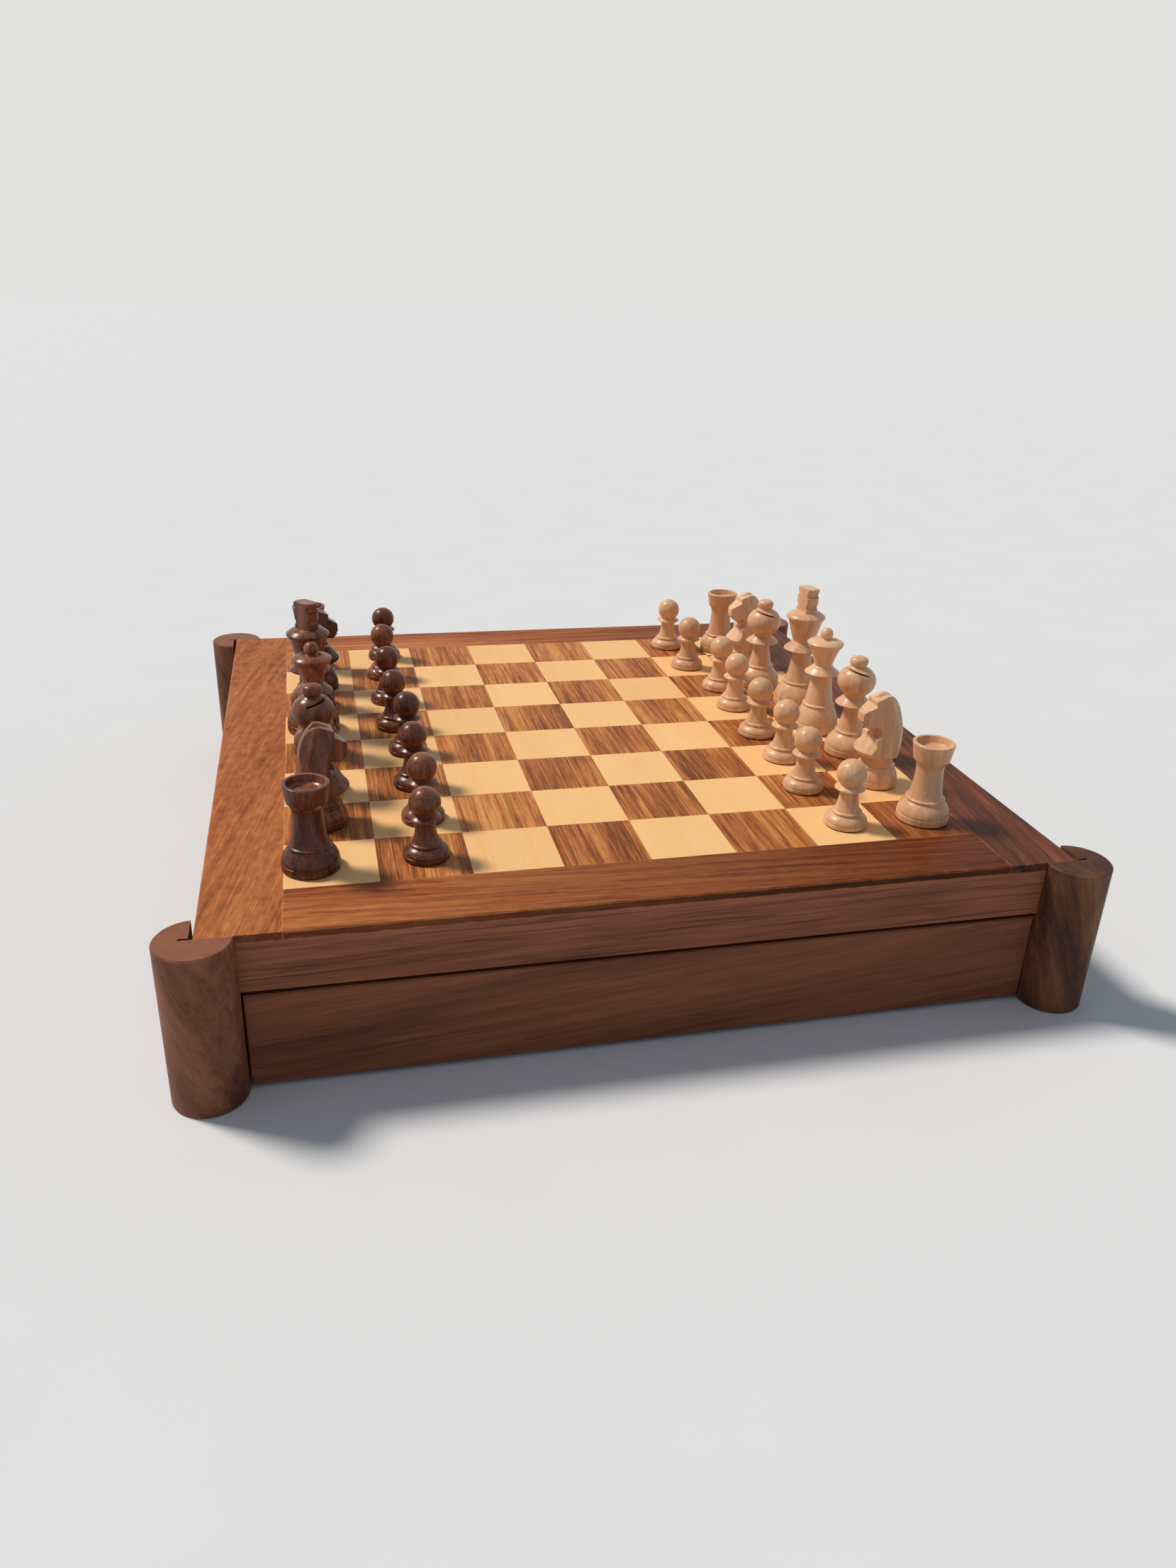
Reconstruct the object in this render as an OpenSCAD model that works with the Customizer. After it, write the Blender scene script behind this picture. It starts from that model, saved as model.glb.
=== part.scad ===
// Chess box: a playing board on a case with two drawers, and its thirty-two turned and carved pieces.
// Millimetres. The origin is on the table under the middle of the board, X runs across from the dark
// side to the light side, Y from the near drawer to the far drawer, and Z is up.

/* [Board] */
// Side of one square
square = 31; // [28:0.5:36]
// Width of the border strips round the squares
border_w = 26; // [20:1:32]
// Thickness of the squares and border strips
inlay_t = 3; // [2:0.5:4]
// Thickness of the plywood core that carries them
core_t = 6; // [4:0.5:8]
// Flat eased along the outer edges of the strips and fronts
edge_ease = 0.5; // [0.3:0.1:0.8]

/* [Case] */
// Height of the playing surface above the table
case_h = 57.5; // [54:0.5:66]
// Thickness of the side panels, aprons and drawer fronts
wall_t = 12; // [10:0.5:14]
// Depth of the fixed apron, from the playing surface down
apron_drop = 20.8; // [19:0.2:24]
// Height of the case above the table
ground_gap = 1.5; // [1.2:0.1:3]
// Thickness of the base panel
base_t = 3; // [2:0.5:4]
// Thickness of the felt under the base panel
felt_t = 0.8; // [0.5:0.1:1.1]
// Thickness of the divider that the drawers stop against
divider_t = 4; // [3:0.5:6]

/* [Corner posts] */
// Diameter of a post
post_d = 24; // [21:1:28]
// Clearance between the notch of a post and the case's side
post_gap = 1.3; // [0.6:0.1:1.8]
// Width of the saw kerf
kerf_w = 1; // [0.6:0.1:1.4]
// How far the saw ran past the corner of the notch
kerf_run = 3; // [1:0.5:5]

/* [Drawers] */
// Gap above a drawer front
front_gap = 1.2; // [0.8:0.1:2]
// Gap at each end of a drawer
drawer_side_gap = 0.5; // [0.4:0.1:1.5]
// Gap between a closed drawer and the divider
drawer_stop_gap = 1; // [0.5:0.1:3]
// Thickness of a drawer's sides and back
drawer_wall_t = 6; // [4:0.5:8]
// How far the sides and back stay below the top of the front
drawer_wall_drop = 1; // [0.5:0.5:6]
// Thickness of a drawer's bottom
drawer_bottom_t = 3; // [2:0.5:4]
// Thickness of the felt lining
lining_t = 0.8; // [0.5:0.1:1.2]
// Thickness of the partition slats
slat_t = 3; // [2:0.5:4]
// Height of the partition slats
slat_h = 14; // [10:1:17]
// Clearance at the end of a slat
slat_gap = 0.2; // [0.1:0.1:0.4]
// Compartments along a drawer
columns = 8; // [2:1:8]
// Length of the finger groove under a front
groove_l = 90; // [60:5:140]
// Depth of the finger groove
groove_d = 3; // [2:0.5:4]

/* [Pawns] */
// Diameter of the base
pawn_base_d = 16; // [13:0.2:18]
// Height
pawn_h = 26.1; // [23:0.5:30]
// Diameter of the ball
pawn_head_d = 11; // [9:0.2:12]
// Diameter of the collar
pawn_collar_d = 11.4; // [9.6:0.2:12]

/* [Rooks] */
// Diameter of the base
rook_base_d = 19.6; // [18:0.2:22]
// Height
rook_h = 31.2; // [28:0.5:35]
// Diameter of the rim
rook_rim_d = 15.6; // [14:0.2:18]
// Depth of the hollow in the top
rook_cup_depth = 3; // [2:0.2:3.4]
// Thickness of the rim
rook_rim_t = 1.6; // [1.2:0.1:2.2]

/* [Knights] */
// Diameter of the base
knight_base_d = 18; // [16:0.2:20]
// Height to the tips of the ears
knight_h = 38; // [35:0.5:42]
// Diameter of the turned chest
knight_chest_d = 20; // [18:0.2:21]
// Width between the flat sides at the chest
knight_chest_w = 16; // [14:0.2:17.6]
// Width over the ears
knight_ear_w = 7.2; // [6.4:0.2:8.4]
// Width of the muzzle at its tip
knight_muzzle_w = 4.6; // [4:0.2:6]

/* [Bishops] */
// Diameter of the base
bishop_base_d = 19.6; // [18:0.2:22]
// Height
bishop_h = 43.2; // [40:0.5:47]
// Diameter of the head
bishop_head_d = 16; // [14.6:0.2:17.4]
// Diameter of the collar
bishop_collar_d = 15.4; // [14:0.2:17]
// Diameter of the button on top
bishop_button_d = 7.6; // [7:0.2:9]

/* [Queens] */
// Diameter of the base
queen_base_d = 19; // [18:0.2:23]
// Height
queen_h = 47.2; // [44:0.5:51]
// Diameter of the crown
queen_crown_d = 15.8; // [15:0.2:18]
// Diameter of the collar
queen_collar_d = 15.4; // [15:0.2:18]
// Diameter of the ball on top
queen_ball_d = 5.6; // [5:0.2:6.6]

/* [Kings] */
// Diameter of the base
king_base_d = 22; // [20:0.2:24]
// Height
king_h = 56.3; // [53:0.5:60]
// Diameter of the crown
king_crown_d = 17.6; // [17:0.2:20]
// Diameter of the collar
king_collar_d = 17.4; // [16:0.2:19]
// Diameter of the finial
king_finial_d = 10; // [9:0.2:11]
// Height of the finial
king_finial_h = 10.4; // [10:0.2:12.4]
// Thickness of the finial between its two flats
king_finial_t = 6; // [5:0.2:7]

/* [Hidden] */
$fn = 64;
FILES = ["a", "b", "c", "d", "e", "f", "g", "h"];
BACK_ROW = ["rook", "knight", "bishop", "queen", "king", "bishop", "knight", "rook"];
CORNERS = [["near_left", -1, -1], ["near_right", 1, -1], ["far_left", -1, 1], ["far_right", 1, 1]];

grid = 8 * square;
half = grid / 2 + border_w;
inner = half - wall_t;
inlay_z = case_h - inlay_t;
core_z = inlay_z - core_t;
apron_z = case_h - apron_drop;
base_top = ground_gap + base_t;
front_top = apron_z - front_gap;
drawer_half = inner - drawer_side_gap;
drawer_in_half = drawer_half - drawer_wall_t;
drawer_back = divider_t / 2 + drawer_stop_gap;
drawer_well_far = drawer_back + drawer_wall_t;
lining_z = base_top + drawer_bottom_t;
slat_z = lining_z + lining_t;
slat_mid = (inner + drawer_well_far) / 2;
column_w = (2 * drawer_in_half - (columns - 1) * slat_t) / columns;

// Height of the slope on the underside of every collar
collar_under = 1.2;

// Where each piece stands off the middle of its square, file a to file h. A third value is the angle
// that the piece is turned by.
LIGHT_BACK_AT = [
    [2.4, -0.4], [-0.9, 2.7], [2, 3], [-0.9, -0.7], [3.4, 0.6, 10], [-5, -1.6], [-2, -3], [-6, -6]
];
LIGHT_PAWN_AT = [
    [1.9, -0.3], [-1.2, 1.6], [2, 0.8], [1.2, -2.4], [2.7, 0.6], [4.4, -4.2], [-1.2, -1.3], [-1.8, 1.8]
];
DARK_BACK_AT = [
    [-6.3, -1.6], [-1.7, 0.3, 9], [-2.8, -2.2], [-2.4, 5], [-3.5, 0, 40], [-3.4, -2], [-0.2, -8.5, 12],
    [-3, -8.6]
];
DARK_PAWN_AT = [
    [1.1, -0.4], [3, -2.1], [2.5, -2.4], [3.1, 0.4], [-0.2, -2.3], [-0.5, -0.2], [-0.3, 3.8], [2.1, 1.9]
];

WALNUT = "#6b3f28";
ROSEWOOD = "#8a4d2f";
MAPLE = "#e3b67d";
PLY = "#c9a06d";
FELT = "#1f4a33";
LIGHT_WOOD = "#e2c08e";
DARK_WOOD = "#3a1c12";

// ---- outlines ----

// Points of the smooth bend from a to b that leaves and arrives along the lines through via, without a
function bend(a, via, b, n = 5) =
    [for (i = [1:n]) let (t = i / n) (1 - t) * (1 - t) * a + 2 * t * (1 - t) * via + t * t * b];

// Points of an arc about c from one angle to another, with both ends
function arc(c, r, from, to, n = 10) =
    [for (i = [0:n]) let (t = from + (to - from) * i / n) c + r * [cos(t), sin(t)]];

// A turned foot of radius r: a straight band, an incised line and a dome that ends in a bead at [neck, top]
function foot(r, neck, top) =
    let (line_z = 0.3 * top, line_w = 0.4, line_d = 0.4, bead_h = 1.1, bead_d = 0.8)
    concat(
        [[0, 0], [r - 0.4, 0], [r, 0.5], [r, line_z], [r - line_d, line_z + line_w / 2]],
        [[r - line_d / 4, line_z + line_w]],
        bend([r - line_d / 4, line_z + line_w], [0.97 * r, 0.62 * top], [neck + bead_d / 2, top - bead_h]),
        [[neck + bead_d, top - 0.8 * bead_h], [neck + bead_d, top - 0.3 * bead_h]],
        [[neck + 0.3, top], [neck, top]]
    );

// A collar of radius r that slopes in to the neck above it over a height of t; the neck below it ends
// at collar_under less than z
function collar(r, above, z, t = 1.5) =
    [[r - 0.4, z - 0.3], [r, z], [r - 0.3, z + 0.5], [above, z + t]];

module turned(outline) {
    rotate_extrude() polygon(outline);
}

// A board with its four long edges eased, size [x, y, z], length along X, standing on its middle
module eased_board(size, ease) {
    translate([-size.x / 2, 0, 0]) rotate([90, 0, 90]) linear_extrude(size.x) polygon([
        [-size.y / 2 + ease, 0], [size.y / 2 - ease, 0], [size.y / 2, ease], [size.y / 2, size.z - ease],
        [size.y / 2 - ease, size.z], [-size.y / 2 + ease, size.z], [-size.y / 2, size.z - ease],
        [-size.y / 2, ease]
    ]);
}

module slab(low, high) {
    translate(low) cube(high - low);
}

// ---- board ----

module board_core() {
    color(PLY) slab([-inner, -inner, core_z], [inner, inner, inlay_z]);
}

module squares(parity) {
    for (i = [0:7], j = [0:7]) if ((i + j) % 2 == parity)
        translate([(i - 4) * square, (j - 4) * square, inlay_z]) cube([square, square, inlay_t]);
}

module light_squares() {
    color(MAPLE) squares(0);
}

module dark_squares() {
    color(WALNUT) squares(1);
}

// One border strip along Y on the positive X side, with its outer top edge eased
module border_strip(length) {
    color(ROSEWOOD) translate([0, length / 2, 0]) rotate([90, 0, 0]) linear_extrude(length) polygon([
        [grid / 2, inlay_z], [half, inlay_z], [half, case_h - edge_ease], [half - edge_ease, case_h],
        [grid / 2, case_h]
    ]);
}

// ---- case ----

module side_panel(side) {
    color(WALNUT) translate([side * (half + inner) / 2, 0, 0]) rotate([0, 0, 90])
        translate([0, 0, ground_gap]) eased_side(inlay_z - ground_gap);
}

// The side's section: its lower outer edges are eased, its top stays square under the border
module eased_side(h) {
    translate([-half, 0, 0]) rotate([90, 0, 90]) linear_extrude(2 * half) polygon([
        [-wall_t / 2 + edge_ease, 0], [wall_t / 2 - edge_ease, 0], [wall_t / 2, edge_ease],
        [wall_t / 2, h], [-wall_t / 2, h], [-wall_t / 2, edge_ease]
    ]);
}

module apron(side) {
    color(WALNUT) translate([0, side * (half + inner) / 2, apron_z])
        translate([-inner, 0, 0]) rotate([90, 0, 90]) linear_extrude(2 * inner) polygon([
            [-wall_t / 2 + edge_ease, 0], [wall_t / 2 - edge_ease, 0], [wall_t / 2, edge_ease],
            [wall_t / 2, apron_drop - inlay_t], [-wall_t / 2, apron_drop - inlay_t],
            [-wall_t / 2, edge_ease]
        ]);
}

module base_panel() {
    color(PLY) slab([-inner, -inner, ground_gap], [inner, inner, base_top]);
}

module base_felt() {
    color(FELT) slab([-inner, -inner, ground_gap - felt_t], [inner, inner, ground_gap]);
}

module drawer_divider() {
    color(PLY) slab([-inner, -divider_t / 2, base_top], [inner, divider_t / 2, core_z]);
}

// A round post whose quarter is cut away for the corner of the case, as it stands at the far right
module corner_post() {
    r = post_d / 2;
    color(WALNUT) difference() {
        translate([half, half, 0]) rotate_extrude() polygon([
            [0, 0], [r - edge_ease, 0], [r, edge_ease], [r, case_h - edge_ease], [r - edge_ease, case_h],
            [0, case_h]
        ]);
        slab([half - post_d, half - post_d, -1], [half + post_gap, half, case_h + 1]);
        slab([half, half - kerf_w, -1], [half + post_gap + kerf_run, half, case_h + 1]);
    }
}

// ---- drawers, as the far one stands ----

module drawer_front() {
    front_h = front_top - ground_gap;
    groove_r = 2 * groove_d;
    color(WALNUT) difference() {
        translate([0, (half + inner) / 2, ground_gap]) intersection() {
            eased_board([2 * drawer_half, wall_t, front_h], edge_ease);
            translate([-drawer_half, 0, 0]) linear_extrude(front_h) polygon([
                [0, -wall_t / 2], [2 * drawer_half, -wall_t / 2], [2 * drawer_half, wall_t / 2 - edge_ease],
                [2 * drawer_half - edge_ease, wall_t / 2], [edge_ease, wall_t / 2],
                [0, wall_t / 2 - edge_ease]
            ]);
        }
        translate([-groove_l / 2, (half + inner) / 2, ground_gap - groove_r + groove_d])
            rotate([0, 90, 0]) cylinder(r = groove_r, h = groove_l);
    }
}

module drawer_frame() {
    wall_top = front_top - drawer_wall_drop;
    color(PLY) {
        for (side = [-1, 1])
            translate([side * (drawer_half + drawer_in_half) / 2 - drawer_wall_t / 2, drawer_back, base_top])
                cube([drawer_wall_t, inner - drawer_back, wall_top - base_top]);
        slab([-drawer_in_half, drawer_back, base_top], [drawer_in_half, drawer_well_far, wall_top]);
    }
}

module drawer_bottom() {
    color(PLY) slab([-drawer_in_half, drawer_well_far, base_top], [drawer_in_half, inner, lining_z]);
}

module drawer_lining() {
    color(FELT) slab([-drawer_in_half, drawer_well_far, lining_z], [drawer_in_half, inner, slat_z]);
}

module drawer_slats() {
    row_l = (inner - drawer_well_far - slat_t) / 2 - 2 * slat_gap;
    color(PLY) {
        translate([slat_gap - drawer_in_half, slat_mid - slat_t / 2, slat_z])
            cube([2 * (drawer_in_half - slat_gap), slat_t, slat_h]);
        for (i = [1:columns - 1], y = [drawer_well_far, slat_mid + slat_t / 2])
            translate([i * (column_w + slat_t) - slat_t - drawer_in_half, y + slat_gap, slat_z])
                cube([slat_t, row_l, slat_h]);
    }
}

// ---- pieces, each standing on the plane z = 0 and, where it has a face, looking along -X ----

module pawn() {
    r = pawn_base_d / 2;
    head_r = pawn_head_d / 2;
    foot_z = 0.235 * pawn_h;
    foot_neck = 0.61 * r;
    collar_z = 0.57 * pawn_h;
    waist = 0.43 * r;
    neck = 0.68 * head_r;
    head_z = pawn_h - head_r;
    neck_angle = acos(neck / head_r);
    turned(concat(
        foot(r, foot_neck, foot_z),
        bend([foot_neck, foot_z], [waist, 0.34 * pawn_h], [waist, collar_z - collar_under]),
        collar(pawn_collar_d / 2, neck, collar_z),
        arc([0, head_z], head_r, -neck_angle, 90, 12)
    ));
}

module rook() {
    r = rook_base_d / 2;
    rim_r = rook_rim_d / 2;
    foot_z = 0.3 * rook_h;
    foot_neck = 0.67 * r;
    cup_z = 0.77 * rook_h;
    waist = 0.52 * r;
    waist_z = 0.66 * rook_h;
    cup_r = rim_r - rook_rim_t;
    cup_floor = rook_h - rook_cup_depth;
    turned(concat(
        foot(r, foot_neck, foot_z),
        bend([foot_neck, foot_z], [waist, 0.45 * rook_h], [waist, waist_z]),
        bend([waist, waist_z], [waist, cup_z - 1], [0.8 * rim_r, cup_z], 3),
        [[0.86 * rim_r, cup_z + 0.5]],
        bend([0.86 * rim_r, cup_z + 0.5], [0.94 * rim_r, 0.9 * rook_h], [rim_r, rook_h - 0.3], 4),
        [[rim_r - 0.3, rook_h], [cup_r + 0.2, rook_h], [cup_r - 0.4, cup_floor + 0.5]],
        [[cup_r - 1.2, cup_floor], [0, cup_floor - 0.3]]
    ));
}

module bishop() {
    r = bishop_base_d / 2;
    head_r = bishop_head_d / 2;
    button_r = bishop_button_d / 2;
    foot_z = 0.25 * bishop_h;
    foot_neck = 0.57 * r;
    collar_z = 0.52 * bishop_h;
    collar_slope = 3.2;
    head_z = 0.75 * bishop_h;
    head_half = 0.155 * bishop_h;
    head_from = -52;
    head_to = 62;
    waist = 0.35 * r;
    neck = head_r * cos(head_from);
    button_z = bishop_h - 3.8;
    button_neck = 0.36 * head_r;
    slit_w = 0.8;
    slit_z = head_z + 0.62 * head_half;
    slit_tilt = 15;
    difference() {
        turned(concat(
            foot(r, foot_neck, foot_z),
            bend([foot_neck, foot_z], [1.2 * waist, 0.38 * bishop_h], [waist, collar_z - collar_under]),
            collar(bishop_collar_d / 2, neck - 0.6, collar_z, collar_slope),
            [for (p = arc([0, 0], 1, head_from, head_to)) [head_r * p.x, head_z + head_half * p.y]],
            [[button_neck, button_z - 0.3]],
            bend([button_neck, button_z - 0.3], [button_r, button_z], [button_r, button_z + 1.4], 3),
            bend([button_r, button_z + 1.4], [button_r, bishop_h - 0.1], [0, bishop_h], 5)
        ));
        translate([0, 0, slit_z]) rotate([0, slit_tilt, 0])
            translate([-2 * head_r, -2 * head_r, -slit_w / 2]) cube([2.3 * head_r, 4 * head_r, slit_w]);
    }
}

module queen() {
    r = queen_base_d / 2;
    crown_r = queen_crown_d / 2;
    ball_r = queen_ball_d / 2;
    foot_z = 0.275 * queen_h;
    foot_neck = 0.66 * r;
    collar_z = 0.572 * queen_h;
    collar_slope = 2.4;
    crown_z = 0.86 * queen_h;
    rim_t = 1.2;
    waist = 0.46 * r;
    bell = 0.5 * crown_r;
    bell_z = collar_z + collar_slope + 0.9;
    ball_angle = 45;
    ball_neck = ball_r * cos(ball_angle);
    turned(concat(
        foot(r, foot_neck, foot_z),
        bend([foot_neck, foot_z], [1.2 * waist, 0.39 * queen_h], [waist, collar_z - collar_under]),
        collar(queen_collar_d / 2, bell + 0.9, collar_z, collar_slope),
        [[bell + 0.6, bell_z - 0.3], [bell, bell_z]],
        bend([bell, bell_z], [0.62 * crown_r, crown_z - 6], [0.84 * crown_r, crown_z - rim_t - 1.2]),
        bend([0.84 * crown_r, crown_z - rim_t - 1.2], [crown_r, crown_z - rim_t], [crown_r, crown_z], 3),
        bend([crown_r, crown_z], [0.7 * crown_r, crown_z + 2.2], [ball_neck + 0.5, queen_h - 1.9 * ball_r]),
        arc([0, queen_h - ball_r], ball_r, -ball_angle, 90, 8)
    ));
}

module king() {
    r = king_base_d / 2;
    crown_r = king_crown_d / 2;
    finial_r = king_finial_d / 2;
    crown_top = king_h - king_finial_h;
    foot_z = 0.217 * king_h;
    foot_neck = 0.62 * r;
    collar_z = 0.487 * king_h;
    collar_slope = 2.8;
    crown_z = crown_top - 2.4;
    rim_t = 1.2;
    waist = 0.39 * r;
    bell = 0.54 * crown_r;
    bell_z = collar_z + collar_slope + 0.9;
    notch_r = 1.4;
    notch_low = 0.2;
    notch_high = 0.74;
    turned(concat(
        foot(r, foot_neck, foot_z),
        bend([foot_neck, foot_z], [1.15 * waist, 0.3 * king_h], [waist, collar_z - collar_under]),
        collar(king_collar_d / 2, bell + 1, collar_z, collar_slope),
        [[bell + 0.7, bell_z - 0.3], [bell, bell_z]],
        bend([bell, bell_z], [0.76 * crown_r, crown_z - 7], [0.89 * crown_r, crown_z - rim_t - 0.8]),
        [[crown_r - 0.3, crown_z - rim_t - 0.2], [crown_r, crown_z - rim_t], [crown_r, crown_z - 0.3]],
        [[crown_r - 0.4, crown_z]],
        bend([crown_r - 0.4, crown_z], [0.7 * crown_r, crown_top], [0, crown_top], 4)
    ));
    translate([0, 0, crown_top - 0.5]) difference() {
        cylinder(r = finial_r, h = king_finial_h + 0.5);
        for (side = [-1, 1]) {
            translate([side * (king_finial_t / 2 + finial_r), 0, 0.5 + king_finial_h / 2])
                cube([2 * finial_r, 2 * finial_r + 1, king_finial_h + 2], center = true);
            for (z = [notch_low, notch_high])
                translate([0, side * (finial_r - notch_r / 4), 0.5 + z * king_finial_h])
                rotate([0, 90, 0]) cylinder(r = notch_r, h = king_finial_t + 1, center = true);
        }
    }
}

// The knight's side view, nose to -X: chest, throat, muzzle, brow, ears and the bend of the mane.
// It is drawn for a chest of radius 10 and a height of 38, and sx and sz scale it.
function knight_profile(sx, sz) =
    let (ear = [1.2, 38], mane_bend = [6.6, 35], mane = [7.2, 27], foot_z = 13)
    [for (p = concat(
        [[-10.4, foot_z], [-10.4, 23.2], [-3.8, 23.2], [-3.4, 23.6]],
        [[-6.8, 24.2], [-9.2, 26], [-10.3, 28.4], [-9.8, 30.8]],
        [[-5.2, 34], [-5.4, 36], [-0.8, 37.9], ear],
        bend(ear, mane_bend, mane),
        [[7.8, 18], [7.6, 16], [6.2, foot_z]]
    )) [p.x * sx, p.y * sz]];

module knight() {
    r = knight_base_d / 2;
    chest_r = knight_chest_d / 2;
    chest_w = knight_chest_w / 2;
    ear_w = knight_ear_w / 2;
    h = knight_h;
    sx = chest_r / 10;
    sz = h / 38;
    chest_z = 0.345 * h;
    foot_z = 0.23 * h;
    foot_neck = 0.74 * r;
    neck_r = 0.68 * r;
    difference() {
        union() {
            turned(concat(
                foot(r, foot_neck, foot_z),
                bend([foot_neck, foot_z], [neck_r, 0.27 * h], [neck_r, chest_z + 0.5], 3),
                [[0, chest_z + 0.5]]
            ));
            intersection() {
                turned([
                    [0, chest_z], [neck_r, chest_z], [chest_r - 0.8, chest_z + 0.4], [chest_r, chest_z + 1.6],
                    [chest_r, 0.8 * h], [0.8 * chest_r, h + 1], [0, h + 1]
                ]);
                rotate([90, 0, 0]) translate([0, 0, -chest_r - 1]) linear_extrude(2 * chest_r + 2)
                    polygon(knight_profile(sx, sz));
                rotate([90, 0, 90]) translate([0, 0, -chest_r - 2]) linear_extrude(2 * chest_r + 4) polygon([
                    [-chest_w, chest_z - 0.5], [chest_w, chest_z - 0.5], [ear_w, h + 0.5], [-ear_w, h + 0.5]
                ]);
            }
        }
        chest_cone(chest_r, sx, sz);
        knight_cuts(sx, ear_w, sz);
    }
}

// What is turned off in front of the throat, so that the chest rises to it as a cone
module chest_cone(chest_r, sx, sz) {
    cone_low = 15.2;
    cone_high = 24;
    cut_high = 23.5;
    tip_r = 3.2;
    wall_x = -4.6;
    difference() {
        slab([-2 * chest_r, -2 * chest_r, cone_low * sz], [wall_x * sx, 2 * chest_r, cut_high * sz]);
        translate([0, 0, cone_low * sz])
            cylinder(r1 = chest_r, r2 = tip_r, h = (cone_high - cone_low) * sz);
    }
}

// What the carver takes off: cheeks, throat gouges, mane bevels, ear hollows, mouth and ear parting
module knight_cuts(sx, ear_w, sz) {
    outside = 9;
    muzzle_w = knight_muzzle_w / 2;
    cheek = [-2.4, 5.6];
    cheek_low = 23.7;
    muzzle_x = -10.4;
    throat = [-4.6, 23.4];
    throat_rib = 1.7;
    gouge_r = [1.9, 2.7];
    back_bevel = [[4.6, 7], [9.4, 1.8]];
    mane_mid = [4.7, 32.3];
    mane_tilt = 27;
    mane_bevel = [[-4.5, 7], [1.4, 1.4]];
    hollow = [-0.6, 35.4];
    hollow_r = 1.1;
    mouth = [-11.4, 27];
    mouth_w = 0.5;
    parting = 1.6;
    for (side = [-1, 1]) {
        translate([0, 0, cheek_low * sz]) linear_extrude(16 * sz) polygon([
            [(cheek.x + 1.4) * sx, side * outside], [cheek.x * sx, side * cheek.y],
            [muzzle_x * sx, side * muzzle_w], [(muzzle_x - 2) * sx, side * 0.7 * muzzle_w],
            [(muzzle_x - 2) * sx, side * outside]
        ]);
        translate([throat.x * sx, side * throat_rib, throat.y * sz]) rotate([-90 * side, 0, 0])
            cylinder(r1 = gouge_r[0], r2 = gouge_r[1], h = 8);
        translate([0, 0, 12 * sz]) linear_extrude(28 * sz) bevel(back_bevel, side, outside, sx);
        translate([mane_mid.x * sx, 0, mane_mid.y * sz]) rotate([0, -mane_tilt, 0])
            translate([0, 0, -16]) linear_extrude(28) bevel(mane_bevel, side, outside, 1);
        translate([hollow.x * sx, side * (ear_w + hollow_r), hollow.y * sz]) sphere(r = hollow_r);
    }
    translate([mouth.x * sx, -5, mouth.y * sz]) rotate([0, 14, 0]) cube([3, 10, mouth_w]);
    translate([-7 * sx, 0, knight_h - parting * sz]) rotate([90, 0, 90]) linear_extrude(12 * sx)
        polygon([[-0.3, 0], [0.3, 0], [0.6 * ear_w, 1.3 * parting * sz], [-0.6 * ear_w, 1.3 * parting * sz]]);
}

// The section that a bevel through two points takes off on one side, out to the given distance
module bevel(line, side, outside, sx) {
    a = line[0];
    b = line[1];
    polygon([
        [a.x * sx, side * a.y], [b.x * sx, side * b.y], [(b.x + 3) * sx, side * b.y],
        [(b.x + 3) * sx, side * outside], [a.x * sx, side * outside]
    ]);
}

module piece(kind) {
    if (kind == "pawn") pawn();
    if (kind == "rook") rook();
    if (kind == "knight") knight();
    if (kind == "bishop") bishop();
    if (kind == "queen") queen();
    if (kind == "king") king();
}

// A piece on the square of file f, with the rank counted from the dark side, looking at the other player.
// A third value of off is the angle that the piece is turned by.
module placed(kind, dark, f, rank, off) {
    turn = len(off) > 2 ? off[2] : 0;
    translate([(rank - 3.5) * square + off[0], (f - 3.5) * square + off[1], case_h])
        color(dark ? DARK_WOOD : LIGHT_WOOD) rotate([0, 0, turn + (dark ? 180 : 0)]) piece(kind);
}

// ---- the assembly ----

board_core();
light_squares();
dark_squares();
rotate([0, 0, 180]) border_strip(2 * half);  // border_left
border_strip(2 * half);  // border_right
rotate([0, 0, -90]) border_strip(grid);  // border_near
rotate([0, 0, 90]) border_strip(grid);  // border_far
for (c = CORNERS) mirror([c[1] < 0 ? 1 : 0, 0, 0]) mirror([0, c[2] < 0 ? 1 : 0, 0]) corner_post();
side_panel(-1);  // side_panel_left
side_panel(1);  // side_panel_right
apron(-1);  // apron_near
apron(1);  // apron_far
base_panel();
base_felt();
drawer_divider();
for (s = [["near", 180], ["far", 0]]) rotate([0, 0, s[1]]) {
    drawer_front();
    drawer_frame();
    drawer_bottom();
    drawer_lining();
    drawer_slats();
}
for (i = [0:7]) {
    placed(BACK_ROW[i], false, i, 7, LIGHT_BACK_AT[i]);
    placed(BACK_ROW[i], true, i, 0, DARK_BACK_AT[i]);
    placed("pawn", false, i, 6, LIGHT_PAWN_AT[i]);
    placed("pawn", true, i, 1, DARK_PAWN_AT[i]);
}
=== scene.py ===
"""A chess box with drawers, its board and its pieces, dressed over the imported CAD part."""
import math

import bmesh
import bpy
from mathutils import Matrix, Vector

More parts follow.
